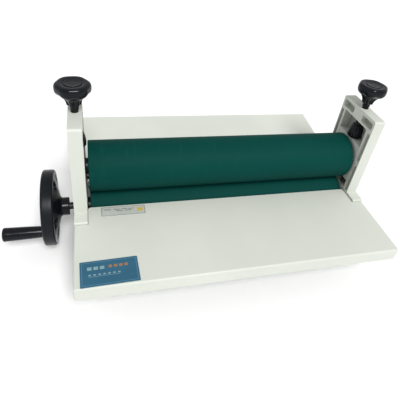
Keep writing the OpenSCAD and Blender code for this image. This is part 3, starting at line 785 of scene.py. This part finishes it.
def spring_cup(side_name):
    """Domed cup with finger flutes round its skirt and a flat back."""
    node = side_name + "_spring_cup"
    low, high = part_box(node)
    centre = middle(side_name + "_pressure_screw")
    side = side_of(node)
    height = (high.z - low.z) / MM
    r = 10.5
    neck = 5.0
    shoulder = height - 3.7
    profile = [(4.5, 0), (r - 0.8, 0)] + arc(r - 0.7, 0.7, 0.7, -90, 0, 3)
    profile += [(r, 5.4), (r - 0.2, 6.6), (r - 0.6, 9.5), (r - 1.0, 11.5), (r - 1.8, 14.0),
                (r - 2.6, 16.5), (r - 3.3, shoulder - 0.5), (r - 4.2, shoulder)]
    profile += [(neck + 0.3, shoulder), (neck, shoulder + 0.4), (neck, height - 0.4),
                (neck - 0.4, height), (3.1, height), (3.1, shoulder - 3.2), (4.5, shoulder - 3.3)]
    flutes = 12
    flute_start = 7.0

    def fluted(angle, radius, z):
        """Radius drawn in at each flute, except near the bore and on the bottom face."""
        r_mm = radius / MM
        z_mm = z / MM
        if r_mm < flute_start or z_mm < 0.4:
            return radius
        hollow = max(0.0, math.cos(flutes * angle)) ** 2
        return (r_mm - 0.75 * hollow * smooth01((r_mm - flute_start) / 1.5)) * MM

    bm = lathe(in_metres(profile), 144, closed_ring=True, wobble=fluted)
    back = (high.x if side > 0 else low.x) - centre.x
    for vertex in bm.verts:
        if vertex.co.x * side > back * side:
            vertex.co.x = back
    piece = piece_from(bm, side_name + "_cup_moulding", (centre.x, centre.y, low.z))
    return finish_piece(piece, side_name + "_cup", moulded_black, [node])


for name in SIDES:
    pressure_screw(name)
    spring_cup(name)


# ---- Springs ----

CLOSED_TURNS = 0.8
CLOSED_RISE = 0.08


def coil_points(radius, wire, length, turns):
    """Centre line of a spring standing on z = 0; its end turns hardly rise."""
    steps = 28
    closed = CLOSED_TURNS / turns
    points = []
    for i in range(int(steps * turns) + 1):
        done = i / steps
        t = done / turns
        open_part = max(0.0, min(1.0, (t - closed) / (1 - 2 * closed)))
        share = (1 - CLOSED_RISE) * open_part + CLOSED_RISE * t
        h = wire / 2 + (length - wire) * share
        a = TURN * done
        points.append(Vector((radius * math.cos(a), radius * math.sin(a), h)))
    return points


def lift_springs(side_name):
    """Pair of springs under a bearing block."""
    node = side_name + "_lift_springs"
    low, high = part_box(node)
    x = (low.x + high.x) / 2
    wire, radius = 1.2 * MM, 3.6 * MM
    length = high.z - low.z
    for end, y in (("feed", low.y + radius + wire / 2), ("delivery", high.y - radius - wire / 2)):
        bm = tube_along(coil_points(radius, wire, length, 8.5), wire / 2)
        piece = piece_from(bm, f"{side_name}_lift_spring_{end}", (x, y, low.z))
        replaced = [node] if end == "feed" else []
        finish_piece(piece, None, spring_wire, replaced)
        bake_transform(piece)


def pressure_spring(side_name):
    """Spring between the cup and the bearing block."""
    node = side_name + "_pressure_spring"
    low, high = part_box(node)
    wire, radius = 1.4 * MM, 3.5 * MM
    bm = tube_along(coil_points(radius, wire, high.z - low.z, 6.5), wire / 2)
    centre = middle(node)
    piece = piece_from(bm, side_name + "_pressure_coil", (centre.x, centre.y, low.z))
    return finish_piece(piece, "roller_carriage", spring_wire, [node])


for name in SIDES:
    lift_springs(name)
    pressure_spring(name)


# ---- Handwheel and crank grip ----

# Distances along the wheel's axis are counted from the outer face of the left frame.
OUTWARD = Vector((-1, 0, 0))
FRAME_OUTER_X_MM = -193.85
RIM_BACK_MM = 23.6
RIM_FRONT_MM = 37.8
HUB_BACK_MM = 7.7
HUB_FRONT_MM = 34
HUB_R_MM = 11.5
BORE_R_MM = 4.7
OPENING_AT_MM = 32.3
OPENING_R_MM = 7
TURNED_RIM_FROM_MM = 45

grip_axis = middle("crank_grip")


def wheel_profile():
    """Closed section of the handwheel, in mm: (radius, distance outwards)."""
    wheel_low, wheel_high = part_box("handwheel")
    rim_r = (wheel_high.z - wheel_low.z) / 2 / MM
    a0, a1 = RIM_BACK_MM, RIM_FRONT_MM
    rim_in = rim_r - 7.5
    rim = arc(rim_r - 2.6, a0 + 2.6, 2.6, -90, 0, 6)
    rim += [(rim_r, a0 + 5), (rim_r, a0 + 7.5), (rim_r, a1 - 5)]
    rim += arc(rim_r - 2.6, a1 - 2.6, 2.6, 0, 90, 6)
    rim += arc(rim_in + 2.2, a1 - 2.2, 2.2, 90, 180, 5)
    web_out = [(rim_in + 0.1, 31.2), (rim_in - 0.8, 29.6), (rim_in - 2.4, 28.8), (30, 27.6), (20, 26.4),
               (14.0, 25.7), (12.4, 26.6), (11.7, 28.2), (HUB_R_MM, 30)]
    hub = [(HUB_R_MM, HUB_FRONT_MM - 0.8), (HUB_R_MM - 0.6, HUB_FRONT_MM), (BORE_R_MM, HUB_FRONT_MM),
           (BORE_R_MM, HUB_BACK_MM), (HUB_R_MM - 0.8, HUB_BACK_MM), (HUB_R_MM, HUB_BACK_MM + 0.8)]
    web_in = [(HUB_R_MM, 15.4), (11.8, 16.6), (12.8, 17.7), (14.6, 18.5), (20, 19.7), (30, 22.0),
              (rim_in - 2.4, 24.0), (rim_in - 0.8, 24.4), (rim_in + 0.1, 24.5)]
    rim_back = arc(rim_in + 2.0, a0 + 2.0, 2.0, 180, 270, 4)
    return rim + web_out + hub + web_in + rim_back


def handwheel():
    """Moulded wheel with a grip boss, four openings and a nut pocket behind the boss."""
    bm = turn_to(lathe(in_metres(wheel_profile()), 120, closed_ring=True), OUTWARD)
    centre = Vector((at(FRAME_OUTER_X_MM, 0, 0).x, lower_axis.y, lower_axis.z))
    wheel = piece_from(bm, "handwheel_moulding", centre)
    to_grip = Vector((0, grip_axis.y - lower_axis.y, grip_axis.z - lower_axis.z))
    back, front = RIM_BACK_MM, RIM_FRONT_MM + 0.8
    boss = lathe(in_metres([(0, back), (7.2, back), (8, back + 0.8), (8, front - 0.8), (7.2, front),
                            (0, front)]), 64)
    boss_piece = piece_from(turn_to(boss, OUTWARD), "boss", centre + to_grip)
    union = wheel.modifiers.new("boss", "BOOLEAN")
    union.operation = "UNION"
    union.solver = "EXACT"
    union.object = boss_piece
    cutters = []
    for k in range(4):
        spin = Matrix.Rotation(math.radians(45 + 90 * k), 3, "X")
        arm = spin @ to_grip.normalized() * OPENING_AT_MM * MM
        hole = lathe(in_metres([(0, 14), (OPENING_R_MM, 14), (OPENING_R_MM, 35), (0, 35)]), 56)
        cutters.append(piece_from(turn_to(hole, OUTWARD), f"opening_{k}", centre + arm))
    pocket = lathe(in_metres([(0, 12), (6.2, 12), (6.2, 31.1), (3, 31.1), (3, 42), (0, 42)]), 48)
    cutters.append(piece_from(turn_to(pocket, OUTWARD), "nut_pocket", centre + to_grip))
    cut(wheel, cutters)
    bpy.data.objects.remove(boss_piece)
    soften(wheel, 0.7, segments=3, angle=42)
    finish_piece(wheel, "lower_roller", [moulded_black, turned_rim], ["handwheel"])
    for polygon in wheel.data.polygons:
        if math.hypot(polygon.center.y, polygon.center.z) > TURNED_RIM_FROM_MM * MM:
            polygon.material_index = 1
    return wheel


def crank_grip():
    """Revolving grip: slim waist at the wheel, full belly, convex end round the spindle head."""
    low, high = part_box("crank_grip")
    length = (high.x - low.x) / MM
    belly = [(4.1, 0), (5.9, 0), (6.5, 0.3), (6.9, 0.9), (7.05, 2)]
    for i in range(1, 12):
        t = i / 12
        bulge = 0.28 * math.sin(math.pi * t)
        belly.append((7.1 + 1.45 * t + bulge * (1 - t), 2 + (length - 5) * t))
    end = [(8.6, length - 2.6), (8.5, length - 1.6), (8.1, length - 0.8), (7.4, length - 0.3),
           (6.6, length - 0.05), (6.0, length), (5.75, length - 0.3), (5.7, length - 1.0),
           (5.7, length - 5.2), (4.1, length - 5.3)]
    bm = turn_to(lathe(in_metres(belly + end), 96, closed_ring=True), OUTWARD)
    piece = piece_from(bm, "crank_grip_moulding", (high.x, grip_axis.y, grip_axis.z))
    return finish_piece(piece, "crank_handle", moulded_black, ["crank_grip"])


def grip_spindle():
    """Shouldered spindle with a domed head."""
    low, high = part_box("grip_spindle")
    length = (high.x - low.x) / MM
    boss_gap = (high.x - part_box("crank_grip")[1].x) / MM - 0.5
    profile = [(0, 0), (2.5, 0), (3, 0.5), (3, boss_gap), (3.9, boss_gap), (4.0, boss_gap + 0.2),
               (4.0, length - 3.0), (5.3, length - 3.0), (5.4, length - 2.8), (5.4, length - 1.2),
               (5.0, length - 0.6), (4.0, length - 0.2), (2.0, length), (0, length)]
    bm = turn_to(lathe(in_metres(profile), 56), OUTWARD)
    piece = piece_from(bm, "grip_spindle_turned", (high.x, grip_axis.y, grip_axis.z))
    return finish_piece(piece, "lower_roller", zinc_plate, ["grip_spindle"])


handwheel()
crank_grip()
grip_spindle()


# ---- Carriage parts ----

for name in SIDES:
    block = rounded_copy(name + "_bearing_block", name + "_block_casting", 0.8)
    finish_piece(block, "roller_carriage", block_paint, [name + "_bearing_block"])


# ---- Hardware: the CAD shapes with rounded edges ----

# Node, body, slot, material and width of the rounded edges in mm.
HARDWARE = [
    ("front_tie_bar", "base", "dark_steel", black_oxide, 0.6),
    ("rear_tie_bar", "base", "dark_steel", black_oxide, 0.6),
    ("lower_tie_rods", "base", "zinc_steel", zinc_plate, 0.4),
    ("frame_screws", "base", "dark_steel", black_oxide, 0.3),
    ("table_nuts", "base", "zinc_steel", zinc_plate, 0.3),
    ("rubber_feet", "base", "foot_rubber", foot_rubber, 0.9),
    ("foot_screws", "base", "zinc_steel", zinc_plate, 0.3),
    ("left_lower_bush", "base", "bronze", sintered_bronze, 0.4),
    ("right_lower_bush", "base", "bronze", sintered_bronze, 0.4),
    ("left_upper_bush", "roller_carriage", "bronze", sintered_bronze, 0.4),
    ("right_upper_bush", "roller_carriage", "bronze", sintered_bronze, 0.4),
    ("left_thread_bush", "base", "brass", turned_brass, 0.3),
    ("right_thread_bush", "base", "brass", turned_brass, 0.3),
    ("handwheel_set_screw", "lower_roller", "dark_steel", black_oxide, 0.2),
    ("handwheel_washer", "lower_roller", "zinc_steel", zinc_plate, 0.2),
    ("handwheel_bolt", "lower_roller", "zinc_steel", zinc_plate, 0.3),
    ("spindle_nut", "lower_roller", "dark_steel", black_oxide, 0.3),
    ("left_cup_clip", "left_knob", "zinc_steel", zinc_plate, 0.15),
    ("right_cup_clip", "right_knob", "zinc_steel", zinc_plate, 0.15),
]
for node, body, slot_name, material, width_mm in HARDWARE:
    part = rounded_copy(node, node + "_finished", width_mm, segments=2)
    finish_piece(part, body, material, [node])


# ---- Plates on the feed table ----

def flat_plate(node, name, turn_deg, size_mm, corner_mm, material):
    """Thin plate with round corners and a soft edge, with its own centre as origin."""
    low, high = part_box(node)
    centre = (low + high) / 2
    thick = high.z - low.z
    half_w, half_h = size_mm[0] * MM / 2, size_mm[1] * MM / 2
    corner = corner_mm * MM
    bm = bmesh.new()
    outline = []
    for quarter, (sx, sy) in enumerate(((1, 1), (-1, 1), (-1, -1), (1, -1))):
        for i in range(7):
            a = math.radians(90 * quarter + 15 * i)
            outline.append(bm.verts.new((sx * (half_w - corner) + corner * math.cos(a),
                                         sy * (half_h - corner) + corner * math.sin(a), 0)))
    face = bm.faces.new(outline)
    grown = bmesh.ops.extrude_face_region(bm, geom=[face])
    top = [g for g in grown["geom"] if isinstance(g, bmesh.types.BMVert)]
    bmesh.ops.translate(bm, verts=top, vec=(0, 0, thick))
    piece = piece_from(bm, name, (centre.x, centre.y, low.z))
    piece.rotation_euler.z = math.radians(turn_deg)
    soften(piece, min(0.18, thick / MM * 0.4), segments=2)
    return finish_piece(piece, "base", material, [node])


PLATE_MM = (60.5, 33)
LABEL_MM = (53, 15.5)
pale_blue = (0.19, 0.31, 0.34)
orange = (0.28, 0.15, 0.075)
yellow = (0.56, 0.42, 0.08)
grey_print = (0.075, 0.08, 0.075)
soft_print = (0.13, 0.14, 0.13)
plate_bars = [((x, 6.4, 4.6, 4.2), pale_blue) for x in (-20.5, -14, -7.5)]
plate_bars += [((x, 7.0, 3.6, 3.4), orange) for x in (1, 6.5, 12, 17.5)]
plate_bars += [((x, -2.0, 2.6, 1.7), pale_blue) for x in (-20.5, -15.5, -10.5, -5.5, -0.5, 4.5, 9.5)]
plate_bars += [((-5.5, -4.2, 32, 0.4), pale_blue)]
label_bars = [((x, 3.0, 7.5, 1.1), soft_print) for x in (-19, -8, 1, 9.5)]
label_bars += [((x, 0.3, 8.0, 1.1), soft_print) for x in (-5, 5.5)]
label_bars += [((20, 0.6, 7, 6), yellow)]
blue_plate = make_printed_plate(
    "blue_plate", (0.027, 0.110, 0.178), (0.024, 0.099, 0.163), (0.08, 0.205, 0.295),
    PLATE_MM[0] * MM / 2, PLATE_MM[1] * MM / 2, 1.8 * MM, plate_bars, (0.3, 0.45))
# The label's grey ground is painted shade: it is darkened to the shade the feed table has near the rollers.
white_label = make_printed_plate(
    "white_label", (0.48, 0.51, 0.47), (0.44, 0.47, 0.43), grey_print,
    LABEL_MM[0] * MM / 2, LABEL_MM[1] * MM / 2, 0.3 * MM, label_bars, (0.4, 0.5))
flat_plate("info_plate", "printed_plate", 1.5, PLATE_MM, 1.0, blue_plate)
flat_plate("blank_label", "film_label", 0, LABEL_MM, 1.0, white_label)


# ---- Floor, light and camera ----

def make_floor():
    """Wide pale floor just under the feet."""
    bm = bmesh.new()
    half = 12.0
    corners = [bm.verts.new((sx * half, sy * half, 0)) for sx, sy in ((-1, -1), (1, -1), (1, 1), (-1, 1))]
    bm.faces.new(corners)
    floor = piece_from(bm, "studio_floor", (0, 0, -0.0002))
    material, tree, shader = new_material("pale_floor")
    shader.inputs["Base Color"].default_value = (0.92, 0.92, 0.92, 1)
    shader.inputs["Roughness"].default_value = 0.9
    floor.data.materials.append(material)


def make_lights():
    """Soft white room and one large soft key from the front, high and slightly to the right."""
    scene = bpy.context.scene
    scene.view_settings.view_transform = "Standard"
    world = bpy.data.worlds.new("soft_room")
    scene.world = world
    world.use_nodes = True
    back = world.node_tree.nodes["Background"]
    back.inputs["Color"].default_value = (1, 1, 1, 1)
    back.inputs["Strength"].default_value = 0.64
    key = bpy.data.lights.new("soft_key", "SUN")
    key.energy = 2.58
    key.angle = math.radians(20)
    lamp = bpy.data.objects.new("soft_key", key)
    lamp.rotation_euler = (math.radians(39.5), 0, math.radians(8))
    scene.collection.objects.link(lamp)


def make_camera():
    """Three-quarter view from above the feed side, left of the middle."""
    data = bpy.data.cameras.new("camera")
    camera = bpy.data.objects.new("camera", data)
    bpy.context.scene.collection.objects.link(camera)
    camera.location = at(-165.56, -413.34, 433.69)
    camera.rotation_euler = [math.radians(a) for a in (53.745, -7.452, -14.454)]
    data.sensor_width = 36
    data.lens = 36.71
    data.shift_x = -0.0342
    data.shift_y = -0.0947
    data.clip_start = 0.01
    bpy.context.scene.camera = camera


make_floor()
make_lights()
make_camera()
